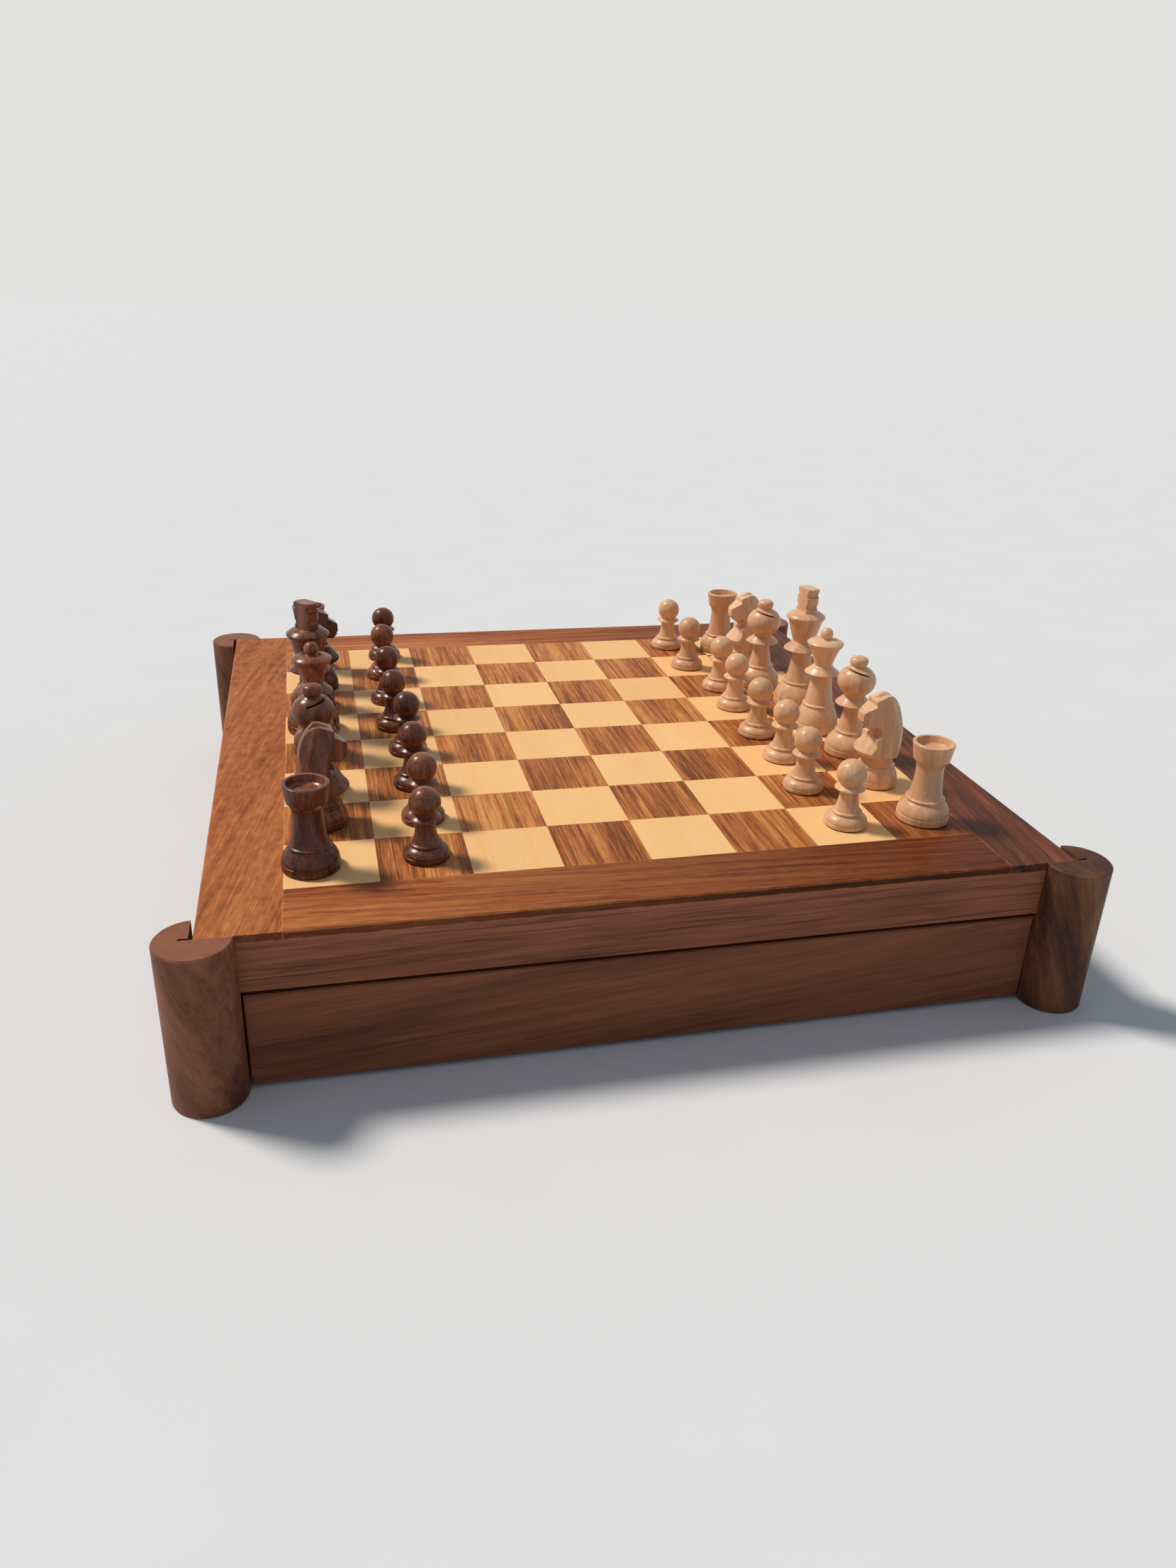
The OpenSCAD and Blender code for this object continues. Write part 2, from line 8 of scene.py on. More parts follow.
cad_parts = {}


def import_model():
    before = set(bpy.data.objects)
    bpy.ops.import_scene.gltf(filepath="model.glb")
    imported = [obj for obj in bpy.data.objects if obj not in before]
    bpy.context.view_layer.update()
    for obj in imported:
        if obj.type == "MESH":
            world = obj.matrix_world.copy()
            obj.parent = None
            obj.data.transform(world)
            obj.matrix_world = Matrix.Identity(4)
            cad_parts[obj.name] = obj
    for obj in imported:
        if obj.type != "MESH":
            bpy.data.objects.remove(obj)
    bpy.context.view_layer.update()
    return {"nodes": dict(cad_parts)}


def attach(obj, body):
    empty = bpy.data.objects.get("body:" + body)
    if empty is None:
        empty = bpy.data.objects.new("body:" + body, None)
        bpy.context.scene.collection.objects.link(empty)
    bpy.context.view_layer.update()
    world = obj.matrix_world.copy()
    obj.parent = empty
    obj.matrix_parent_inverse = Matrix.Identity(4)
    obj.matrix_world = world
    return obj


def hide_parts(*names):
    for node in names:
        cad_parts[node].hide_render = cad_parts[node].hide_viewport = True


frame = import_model()
nodes = frame["nodes"]

# ---- sizes, in millimetres unless a name or comment says otherwise ----

MM = 0.001
SQUARE = 31.0
SEAM_W = 0.22          # glue line between two squares
SEGMENTS = 72          # round a turned piece
NOTCH_SEGMENTS = 32    # round the cutter of a king's notch
WAIST_DROP = 1.2       # from a collar's edge down to the waist under it
ON_AXIS = 1e-6         # a smaller radius is the axis

BISHOP_H = 43.2
BISHOP_HEAD_R, BISHOP_HEAD_HALF, BISHOP_HEAD_Z = 8, 0.155 * BISHOP_H, 0.75 * BISHOP_H
BISHOP_SLIT_W, BISHOP_SLIT_TILT = 0.8, math.radians(15)
KING_H = 56.3
KING_FINIAL_H, KING_FINIAL_R, KING_FINIAL_T = 10.4, 5, 6
KING_NOTCH_R, KING_NOTCHES = 1.4, (0.2, 0.74)    # the notches as parts of the finial's height

FILES = "abcdefgh"
BACK_ROW = ["rook", "knight", "bishop", "queen", "king", "bishop", "knight", "rook"]


# ---- outlines of the turned pieces, as (radius, height) ----

def lerp(a, b, t):
    return (a[0] + (b[0] - a[0]) * t, a[1] + (b[1] - a[1]) * t)


def bend(a, via, b, n=12):
    """Points of the smooth bend from a to b that leaves and arrives along the lines through via."""
    return [lerp(lerp(a, via, i / n), lerp(via, b, i / n), i / n) for i in range(1, n + 1)]


def arc(z, r, start, end, n=24):
    """Points of an arc about (0, z), in degrees, with both ends."""
    angles = [math.radians(start + (end - start) * i / n) for i in range(n + 1)]
    return [(r * math.cos(a), z + r * math.sin(a)) for a in angles]


def foot(r, neck, top):
    """The foot that every piece has: a band, an incised line and a dome that ends in a bead."""
    line, bead_h, bead_d = 0.3 * top, 1.1, 0.8
    start = (r - 0.1, line + 0.4)
    return (
        [(0, 0), (r - 0.4, 0), (r, 0.5), (r, line), (r - 0.4, line + 0.2), start]
        + bend(start, (0.97 * r, 0.62 * top), (neck + bead_d / 2, top - bead_h))
        + [(neck + bead_d, top - 0.8 * bead_h), (neck + bead_d, top - 0.3 * bead_h)]
        + [(neck + 0.3, top), (neck, top)]
    )


def stem(r, neck, top, via, waist, collar_z):
    """A foot and the bend from its neck by way of via to the waist, just under the collar."""
    return foot(r, neck, top) + bend((neck, top), via, (waist, collar_z - WAIST_DROP))


def collar(r, above, z, t=1.5):
    return [(r - 0.4, z - 0.3), (r, z), (r - 0.3, z + 0.5), (above, z + t)]


def pawn():
    r, h, head_r, collar_r = 8, 26.1, 5.5, 5.7
    foot_z, collar_z, waist, neck = 0.235 * h, 0.57 * h, 0.43 * r, 0.68 * head_r
    return (
        stem(r, 0.61 * r, foot_z, (waist, 0.34 * h), waist, collar_z)
        + collar(collar_r, neck, collar_z)
        + arc(h - head_r, head_r, -math.degrees(math.acos(neck / head_r)), 90)
    )


def rook():
    r, h, rim_r, cup_depth = 9.8, 31.2, 7.8, 3
    foot_z, foot_neck, cup_z, waist, waist_z = 0.3 * h, 0.67 * r, 0.77 * h, 0.52 * r, 0.66 * h
    cup_r, cup_floor = rim_r - 1.6, h - cup_depth
    step = (0.86 * rim_r, cup_z + 0.5)
    return (
        foot(r, foot_neck, foot_z)
        + bend((foot_neck, foot_z), (waist, 0.45 * h), (waist, waist_z))
        + bend((waist, waist_z), (waist, cup_z - 1), (0.8 * rim_r, cup_z))
        + [step]
        + bend(step, (0.94 * rim_r, 0.9 * h), (rim_r, h - 0.3))
        + [(rim_r - 0.3, h), (cup_r + 0.2, h), (cup_r - 0.4, cup_floor + 0.5)]
        + [(cup_r - 1.2, cup_floor), (0, cup_floor - 0.3)]
    )


def bishop():
    r, h, head_r, collar_r, button_r = 9.8, BISHOP_H, BISHOP_HEAD_R, 7.7, 3.8
    foot_z, collar_z, waist = 0.25 * h, 0.52 * h, 0.35 * r
    start, end, steps = -52, 62, 30
    head = [math.radians(start + (end - start) * i / steps) for i in range(steps + 1)]
    neck = head_r * math.cos(math.radians(start))
    button_z = h - 3.8
    button = (0.36 * head_r, button_z - 0.3)
    return (
        stem(r, 0.57 * r, foot_z, (1.2 * waist, 0.38 * h), waist, collar_z)
        + collar(collar_r, neck - 0.6, collar_z, 3.2)
        + [(head_r * math.cos(a), BISHOP_HEAD_Z + BISHOP_HEAD_HALF * math.sin(a)) for a in head]
        + [button]
        + bend(button, (button_r, button_z), (button_r, button_z + 1.4))
        + bend((button_r, button_z + 1.4), (button_r, h - 0.1), (0, h))
    )


def queen():
    r, h, crown_r, collar_r, ball_r = 9.5, 47.2, 7.9, 7.7, 2.8
    foot_z, collar_z, slope, crown_z = 0.275 * h, 0.572 * h, 2.4, 0.86 * h
    waist, bell, rim_t = 0.46 * r, 0.5 * crown_r, 1.2
    bell_z, cup = collar_z + slope + 0.9, (0.84 * crown_r, crown_z - rim_t - 1.2)
    rim, ball_neck = (crown_r, crown_z), ball_r * math.cos(math.radians(45))
    return (
        stem(r, 0.66 * r, foot_z, (1.2 * waist, 0.39 * h), waist, collar_z)
        + collar(collar_r, bell + 0.9, collar_z, slope)
        + [(bell + 0.6, bell_z - 0.3), (bell, bell_z)]
        + bend((bell, bell_z), (0.62 * crown_r, crown_z - 6), cup)
        + bend(cup, (crown_r, crown_z - rim_t), rim)
        + bend(rim, (0.7 * crown_r, crown_z + 2.2), (ball_neck + 0.5, h - 1.9 * ball_r))
        + arc(h - ball_r, ball_r, -45, 90)
    )


def king():
    r, h, crown_r, collar_r = 11, KING_H, 8.8, 8.7
    top = h - KING_FINIAL_H
    foot_z, collar_z, slope, crown_z = 0.217 * h, 0.487 * h, 2.8, top - 2.4
    waist, bell, rim_t = 0.39 * r, 0.54 * crown_r, 1.2
    bell_z, cup = collar_z + slope + 0.9, (0.89 * crown_r, crown_z - rim_t - 0.8)
    rim = (crown_r - 0.4, crown_z)
    return (
        stem(r, 0.62 * r, foot_z, (1.15 * waist, 0.3 * h), waist, collar_z)
        + collar(collar_r, bell + 1, collar_z, slope)
        + [(bell + 0.7, bell_z - 0.3), (bell, bell_z)]
        + bend((bell, bell_z), (0.76 * crown_r, crown_z - 7), cup)
        + [(crown_r - 0.3, crown_z - rim_t - 0.2), (crown_r, crown_z - rim_t)]
        + [(crown_r, crown_z - 0.3), rim]
        + bend(rim, (0.7 * crown_r, top), (0, top))
    )


# ---- meshes ----

def placed(name, data):
    """A new object in the scene."""
    o = bpy.data.objects.new(name, data)
    bpy.context.scene.collection.objects.link(o)
    return o


def mesh_from(bm, name):
    mesh = bpy.data.meshes.new(name)
    bm.to_mesh(mesh)
    bm.free()
    return mesh


def eased(points, radius=0.16, sharp=25):
    """The outline with every turn of more than sharp degrees rounded, as sanding leaves it."""
    out = [points[0]]
    for before, here, after in zip(points, points[1:], points[2:]):
        a, b = Vector(before) - Vector(here), Vector(after) - Vector(here)
        turn = 180 - math.degrees(a.angle(b))
        if turn < sharp:
            out.append(here)
            continue
        cut = min(radius, 0.45 * a.length, 0.45 * b.length)
        p, q = Vector(here) + a.normalized() * cut, Vector(here) + b.normalized() * cut
        out += [tuple(p)] + bend(tuple(p), here, tuple(q), 3)
    return out + [points[-1]]


def turned(name, outline, segments=SEGMENTS):
    """A lathe-turned mesh, standing on z = 0."""
    bm = bmesh.new()
    angles = [2 * math.pi * k / segments for k in range(segments)]
    rings = []
    for r, z in outline:
        if r < ON_AXIS:
            rings.append([bm.verts.new((0, 0, z * MM))])
            continue
        ring = [(r * MM * math.cos(a), r * MM * math.sin(a), z * MM) for a in angles]
        rings.append([bm.verts.new(co) for co in ring])
    for low, high in zip(rings, rings[1:]):
        for k in range(segments):
            n = (k + 1) % segments
            places = (low, k), (low, n), (high, n), (high, k)
            corners = [ring[i % len(ring)] for ring, i in places]
            bm.faces.new([v for i, v in enumerate(corners) if v not in corners[:i]])
    bmesh.ops.recalc_face_normals(bm, faces=bm.faces)
    return mesh_from(bm, name)


def block(name, low, high):
    bm = bmesh.new()
    bmesh.ops.create_cube(bm, size=1)
    for v in bm.verts:
        v.co = [(low[i] + (high[i] - low[i]) * (v.co[i] + 0.5)) * MM for i in range(3)]
    return mesh_from(bm, name)


def joined(name, *meshes):
    bm = bmesh.new()
    for mesh in meshes:
        bm.from_mesh(mesh)
    return mesh_from(bm, name)


def with_modifiers(mesh, setup):
    """The mesh after the modifiers that setup puts on an object which holds it."""
    holder = placed("holder", mesh)
    helpers = setup(holder) or []
    dg = bpy.context.evaluated_depsgraph_get()
    made = bpy.data.meshes.new_from_object(holder.evaluated_get(dg))
    made.name = mesh.name
    for o in [holder, *helpers]:
        bpy.data.objects.remove(o)
    return made


def cut(mesh, operation, tool):
    def setup(holder):
        helper = placed("tool", tool)
        m = holder.modifiers.new("cut", "BOOLEAN")
        m.operation, m.object, m.solver = operation, helper, "EXACT"
        return [helper]
    return with_modifiers(mesh, setup)


def softened(mesh, voxel, rounds):
    """The mesh rebuilt on a fine grid and relaxed, so that carved edges come out sanded."""
    def setup(holder):
        grid = holder.modifiers.new("grid", "REMESH")
        grid.mode, grid.voxel_size = "VOXEL", voxel * MM
        relax = holder.modifiers.new("relax", "SMOOTH")
        relax.factor, relax.iterations = 0.5, rounds
    return with_modifiers(mesh, setup)


def shaded(mesh, angle=35):
    """Smooth shading, broken where faces meet at more than angle degrees."""
    for p in mesh.polygons:
        p.use_smooth = True
    mesh.set_sharp_from_angle(angle=math.radians(angle))
    return mesh


def bishop_mesh():
    """The turned bishop with the slanting saw cut in its head."""
    r, w, z = BISHOP_HEAD_R, BISHOP_SLIT_W, BISHOP_HEAD_Z + 0.62 * BISHOP_HEAD_HALF
    saw = block("saw", (-2 * r, -2 * r, -w / 2), (0.3 * r, 2 * r, w / 2))
    slant = Matrix.Rotation(BISHOP_SLIT_TILT, 4, "Y")
    saw.transform(Matrix.Translation((0, 0, z * MM)) @ slant)
    return cut(turned("bishop", eased(bishop())), "DIFFERENCE", saw)


def king_mesh():
    """The turned king with its flat finial, which has two notches in each side."""
    r, t, h, notch = KING_FINIAL_R, KING_FINIAL_T, KING_FINIAL_H, KING_NOTCH_R
    finial = turned("finial", eased([(0, -0.5), (r, -0.5), (r, h), (0, h)], 0.3))
    flats = block("flats", (-t / 2, -r - 1, -2), (t / 2, r + 1, h + 2))
    finial = cut(finial, "INTERSECT", flats)
    for z in KING_NOTCHES:
        for side in (-1, 1):
            groove = turned("groove", [(0, -t), (notch, -t), (notch, t), (0, t)], NOTCH_SEGMENTS)
            place = Matrix.Translation((0, side * (r - notch / 4) * MM, z * h * MM))
            groove.transform(place @ Matrix.Rotation(math.pi / 2, 4, "Y"))
            finial = cut(finial, "DIFFERENCE", groove)
    finial.transform(Matrix.Translation((0, 0, (KING_H - h) * MM)))
    return joined("king", turned("crown", eased(king())), finial)


def foot_place(node):
    """Where the middle of a piece's foot stands, in metres."""
    co = [v.co for v in nodes[node].data.vertices]
    floor = min(c.z for c in co)
    low = [c for c in co if c.z < floor + 0.2 * MM]
    x, y = [c.x for c in low], [c.y for c in low]
    return Vector(((min(x) + max(x)) / 2, (min(y) + max(y)) / 2, floor))


def knight_mesh():
    """The carved solid of the light knight, brought to the origin, with its edges sanded."""
    mesh = nodes["light_knight_b"].data.copy()
    mesh.name = "knight"
    mesh.materials.clear()
    mesh.transform(Matrix.Translation(-foot_place("light_knight_b")))
    return softened(mesh, 0.22, 2)


# ---- materials ----

class Tree:
    """A material's node tree, with short ways to add nodes. Lengths in it are millimetres."""

    def __init__(self, name):
        self.material = bpy.data.materials.new(name)
        self.material.use_nodes = True
        self.tree = self.material.node_tree
        self.bsdf = self.tree.nodes["Principled BSDF"]
        place = self.add("ShaderNodeTexCoord").outputs["Object"]
        self.place = self.vector("SCALE", place, scale=1 / MM)

    def add(self, kind, inputs=None, **properties):
        n = self.tree.nodes.new(kind)
        for key, value in properties.items():
            setattr(n, key, value)
        for key, value in (inputs or {}).items():
            self.set(n.inputs[key], value)
        return n

    def set(self, socket, value):
        if isinstance(value, bpy.types.NodeSocket):
            self.tree.links.new(value, socket)
        else:
            socket.default_value = value

    def math(self, operation, a, b=0.0, clamp=False):
        n = self.add("ShaderNodeMath", {0: a, 1: b}, operation=operation)
        n.use_clamp = clamp
        return n.outputs[0]

    def vector(self, operation, a, b=None, scale=None):
        n = self.add("ShaderNodeVectorMath", {0: a}, operation=operation)
        if b is not None:
            self.set(n.inputs[1], b)
        if scale is not None:
            self.set(n.inputs["Scale"], scale)
        return n.outputs["Vector"]

    def parts(self, vector):
        """The outputs X, Y and Z of a vector."""
        return self.add("ShaderNodeSeparateXYZ", {"Vector": vector}).outputs

    def normal(self):
        return self.add("ShaderNodeNewGeometry").outputs["Normal"]

    def noise(self, vector, scale=1.0, detail=2.0, roughness=0.5, distortion=0.0):
        n = self.add("ShaderNodeTexNoise", {
            "Vector": vector, "Scale": scale, "Detail": detail, "Roughness": roughness,
            "Distortion": distortion,
        })
        return n.outputs["Fac"]

    def ramp(self, fac, *stops):
        n = self.add("ShaderNodeValToRGB", {"Fac": fac})
        while len(n.color_ramp.elements) < len(stops):
            n.color_ramp.elements.new(0.5)
        for e, (at, colour) in zip(n.color_ramp.elements, stops):
            e.position = at
            e.color = (*colour, 1) if isinstance(colour, tuple) else (colour, colour, colour, 1)
        return n.outputs["Color"]

    def between(self, value, start, end):
        """0 at start, 1 at end, even in between, and level beyond both."""
        n = self.add("ShaderNodeMapRange", {"Value": value, "From Min": start, "From Max": end})
        return n.outputs["Result"]

    def centred(self, value, weight):
        """A value that swings about 0.5, brought to swing about 0 by weight."""
        return self.math("MULTIPLY", self.math("SUBTRACT", value, 0.5), weight)

    def total(self, *terms):
        result = terms[0]
        for term in terms[1:]:
            result = self.math("ADD", result, term)
        return result

    def mix(self, fac, a, b, blend="MIX"):
        n = self.add("ShaderNodeMix", data_type="RGBA", blend_type=blend)
        self.set(n.inputs[0], fac)
        self.set(n.inputs[6], (*a, 1) if isinstance(a, tuple) else a)
        self.set(n.inputs[7], (*b, 1) if isinstance(b, tuple) else b)
        return n.outputs[2]

    def edges(self, radius):
        """1 on the edges, 0 on the faces between them; wear and a painted highlight pale the wood
        there.
        """
        soft = self.add("ShaderNodeBevel", {"Radius": radius * MM}, samples=4).outputs["Normal"]
        n = self.add("ShaderNodeVectorMath", {0: soft, 1: self.normal()}, operation="DOT_PRODUCT")
        return self.ramp(self.math("SUBTRACT", 1.0, n.outputs["Value"]), (0.03, 0.0), (0.25, 1.0))

    def finish(self, colour, roughness, height, strength, distance, **shader):
        """Connects the surface. height is in units of distance, in millimetres."""
        bump = self.add("ShaderNodeBump", {
            "Strength": strength, "Distance": distance * MM, "Height": height,
        })
        self.set(self.bsdf.inputs["Base Color"], colour)
        self.set(self.bsdf.inputs["Roughness"], roughness)
        self.set(self.bsdf.inputs["Normal"], bump.outputs["Normal"])
        for key, value in shader.items():
            self.bsdf.inputs[key.replace("_", " ")].default_value = value
        return self.material


def srgb(*colour):
    """A colour as a screen shows it, 0 to 255, in linear light."""
    parts = (c / 255 for c in colour)
    return tuple(c / 12.92 if c <= 0.04 else ((c + 0.055) / 1.055) ** 2.4 for c in parts)


# The layers of the grain. For each: what its length along the grain is shortened by before it is
# drawn, so that it comes out drawn out, and the noise's scale, detail, roughness and distortion.
GRAIN = {
    "wide": (0.12, 0.06, 2, 0.5, 0.0),
    "streak": (0.035, 0.42, 3, 0.62, 0.3),
    "fibre": (0.03, 2.3, 3, 0.6, 0.0),
    "curl": (0.5, 0.35, 3, 0.6, 0.0),
    "vein": (0.012, 0.9, 2, 0.5, 0.2),
    "pore": (0.05, 2.6, 1, 0.4, 0.0),
}
AXES = {"X": (1, 0, 0), "Y": (0, 1, 0), "Z": (0, 0, 1)}
SQUARE_JUMP = 900                    # how far apart in the wood two squares are cut, at most
OBJECT_JUMP = (173.0, 91.0, 47.0)    # the same for two objects
# tones over the width of a year ring, and tints that squares and objects get at random
RING_TONES = ((0.0, 0.35), (0.75, 0.75), (0.94, 0.1), (1.0, 0.35))
WOOD_TINTS = ((0.0, (0.84, 0.78, 0.72)), (0.35, (1.0, 0.95, 0.9)), (0.65, (1.0, 1.0, 1.0)),
              (1.0, (1.1, 1.12, 1.12)))
GLUE_DEPTH, END_DEPTH = 0.45, 0.6    # how far glue lines and end grain take on their colour
PLY_T = 2.2                          # two layers of plywood


def along(t, place, axis, squeeze):
    """place with its length along the grain shortened, so that what is drawn on it is drawn out."""
    return t.vector("MULTIPLY", place, tuple(squeeze if a else 1.0 for a in AXES[axis]))


def cut_from(t, place, cells, rides):
    """A place in the wood of its own for each square or object, and its random number."""
    pick = None
    if cells:
        cell = t.vector("FLOOR", t.vector("SCALE", t.place, scale=1 / cells))
        noise = t.add("ShaderNodeTexWhiteNoise", {"Vector": cell}, noise_dimensions="3D")
        jump = t.vector("SCALE", noise.outputs["Color"], scale=SQUARE_JUMP)
        place, pick = t.vector("ADD", place, jump), noise.outputs["Value"]
    if rides:
        pick = t.add("ShaderNodeObjectInfo").outputs["Random"]
        place = t.vector("ADD", place, t.vector("SCALE", OBJECT_JUMP, scale=pick))
    return place, pick


def swapped_on_x(t, place):
    """place with X and Y swapped on the faces that look along X."""
    looks_x = t.math("GREATER_THAN", t.math("ABSOLUTE", t.parts(t.normal())["X"]), 0.7)
    part = t.parts(place)
    swapped = t.add("ShaderNodeCombineXYZ", {"X": part["Y"], "Y": part["X"], "Z": part["Z"]})
    return t.mix(looks_x, place, swapped.outputs["Vector"])


def year_rings(t, place, axis, band, wide, streak):
    """Bands across the grain that darken slowly and end sharply, bent by two of its layers."""
    part = t.parts(place)
    a, b = (part[cross] for cross in "XYZ" if cross != axis)
    ring = t.total(t.math("ADD", a, t.math("MULTIPLY", b, 0.45)),
                   t.math("MULTIPLY", wide, 4 * band), t.math("MULTIPLY", streak, 0.8 * band))
    return t.ramp(t.math("FRACT", t.math("DIVIDE", ring, band)), *RING_TONES)


def timber(name, axis, wood, broad=0.9, streaks=1.0, fibres=0.6, rings=0.25, mottle=0.0, veins=0.3,
           pores=0.4, band=7.0, tilt=(0, 0, 0), offset=(0, 0, 0), cells=None, rides=False,
           differ=0.7, lines=None, darkening=None, end_tint=None, side_tint=None, edge_wear_and_highlight=0.45,
           edge=0.5, dark_foot_band=None, rough=0.5, specular=0.25):
    """Oiled or lacquered solid wood with its grain along axis, or for axis "XY" along the boards
    of a frame that stand on edge: along Y on faces that look along X, and along X on the others.

    wood: its colours' name in WOODS; broad, streaks, fibres, rings, mottle: weights of the
    figure's layers; veins, pores: depth of the thin dark lines and dots; band: width of a year
    ring; tilt: how the grain leans out of axis, in radians about X, Y and Z; offset: what part of
    the wood it is cut from; cells: side of the squares that are each cut from another place;
    rides: another place in the wood for each object; differ: how much squares or objects differ
    in tone; lines: glue lines to darken; darkening: an axis, two places on it and the tint that
    the colour takes on between them, painted shade where the light falls off on the border strips
    and the dark squares, and on the apron a darker bottom; end_tint: colour of the end grain on a
    top face; side_tint: tint of the upright faces, in part painted shade; edge_wear_and_highlight:
    how pale the edges are made, for wear and a painted highlight, and edge: over what width;
    dark_foot_band: thickness and colour of the dark band along the bottom of the foot."""
    dark, middle, light = (srgb(*colour) for colour in WOODS[wood])
    t = Tree(name)
    p, pick = cut_from(t, t.vector("ADD", t.place, offset), cells, rides)
    if axis == "XY":
        p, axis = swapped_on_x(t, p), "X"
    if any(tilt):
        turn = t.add("ShaderNodeVectorRotate", {"Vector": p, "Rotation": tilt},
                     rotation_type="EULER_XYZ")
        p = turn.outputs["Vector"]
    wide, streak, fibre, curl, vein, pore = (
        t.noise(along(t, p, axis, squeeze), *noise) for squeeze, *noise in GRAIN.values()
    )

    # the figure
    wave = year_rings(t, p, axis, band, wide, streak)
    figure = t.total(t.centred(wide, broad), t.centred(streak, streaks), t.centred(fibre, fibres),
                     t.centred(wave, rings), t.centred(curl, mottle))
    figure = t.math("ADD", figure, 0.5, clamp=True)
    colour = t.ramp(figure, (0.2, dark), (0.5, middle), (0.8, light))
    vein = t.ramp(vein, (0.54, 0.0), (0.64, 1.0))
    pore = t.ramp(pore, (0.62, 0.0), (0.72, 1.0))
    line, dot = t.math("MULTIPLY", vein, veins), t.math("MULTIPLY", pore, 0.4 * pores)
    colour = t.mix(t.math("MAXIMUM", line, dot), colour, tuple(c * 0.8 for c in dark))

    # what changes it from place to place: tone at random, glue lines, a darkening along an axis
    # (painted shade on the border strips and the dark squares), end grain, and upright faces darker
    # in part as painted shade
    if pick is not None:
        colour = t.mix(differ, colour, t.ramp(pick, *WOOD_TINTS), "MULTIPLY")
    if lines is not None:
        glue = tuple(c * 0.5 for c in dark)
        colour = t.mix(t.math("MULTIPLY", lines(t), GLUE_DEPTH), colour, glue)
    if darkening is not None:
        way, start, end, tint = darkening
        uneven = t.centred(t.math("ADD", wide, t.centred(streak, 0.6)), end - start)
        here = t.math("ADD", t.parts(t.place)[way], uneven)
        colour = t.mix(t.between(here, start, end), colour, tint, "MULTIPLY")
    up = t.parts(t.normal())["Z"]
    if end_tint is not None:
        top = t.ramp(up, (0.7, 0.0), (0.9, 1.0))
        colour = t.mix(t.math("MULTIPLY", top, END_DEPTH), colour, end_tint)
    # upright faces darker by side_tint, in part as painted shade
    if side_tint is not None:
        colour = t.mix(t.ramp(up, (0.3, 1.0), (0.6, 0.0)), colour, side_tint, "MULTIPLY")

    # edges paled for wear and a painted highlight, a dark band at the foot, and lacquer
    wear_and_highlight = t.math("MULTIPLY", t.edges(edge), t.ramp(curl, (0.4, 0.25), (0.65, 1.0)))
    pale = tuple(min(1, c * 1.25) for c in light)
    colour = t.mix(t.math("MULTIPLY", wear_and_highlight, edge_wear_and_highlight), colour, pale)
    # the bottom of the foot darkened in a thin band
    if dark_foot_band is not None:
        thick, shade = dark_foot_band
        below = t.between(t.parts(t.place)["Z"], 1.2 * thick, 0.8 * thick)
        colour = t.mix(below, colour, shade)
    roughness = t.total(t.math("MULTIPLY", fibre, 0.16), t.math("MULTIPLY", pore, 0.1),
                        t.math("MULTIPLY", wear_and_highlight, -0.08), rough - 0.08)
    height = t.math("SUBTRACT", t.math("MULTIPLY", fibre, 0.35),
                    t.math("MULTIPLY", pore, 0.6 * pores))
    return t.finish(colour, roughness, height, 0.3, 0.1, Specular_IOR_Level=specular)


def square_seams(t):
    """1 on the glue lines between the squares, 0 elsewhere."""
    part = t.parts(t.place)
    off_centre = []
    for axis in "XY":
        within = t.math("FRACT", t.math("DIVIDE", part[axis], SQUARE))
        off_centre.append(t.math("ABSOLUTE", t.math("SUBTRACT", within, 0.5)))
    return t.math("GREATER_THAN", t.math("MAXIMUM", *off_centre), 0.5 - SEAM_W / 2 / SQUARE)


def felt(name, colour):
    t = Tree(name)
    fuzz = t.noise(t.place, 2.6, 4, 0.7)
    patch = t.noise(t.place, 0.06, 2, 0.5)
    tone = t.math("ADD", t.math("MULTIPLY", fuzz, 0.6), t.math("MULTIPLY", patch, 0.4))
    dark, light = tuple(c * 0.55 for c in colour), tuple(min(1, c * 1.5) for c in colour)
    shade = t.ramp(tone, (0.3, dark), (0.7, light))
    return t.finish(shade, 0.95, fuzz, 0.8, 0.4, Sheen_Weight=0.5)


def plywood(name):
    """Pale rotary-cut veneer on the faces and thin crossed layers on the edges."""
    dark, middle, light = (srgb(*colour) for colour in WOODS["plywood"])
    t = Tree(name)
    layer = t.math("SINE", t.math("MULTIPLY", t.parts(t.place)["Z"], 2 * math.pi / PLY_T))
    grain = t.noise(along(t, t.place, "X", 0.06), 0.5, 4, 0.6)
    tone = t.math("ADD", grain, t.math("MULTIPLY", layer, 0.04))
    colour = t.ramp(tone, (0.3, dark), (0.55, middle), (0.75, light))
    return t.finish(colour, 0.62, grain, 0.3, 0.1)


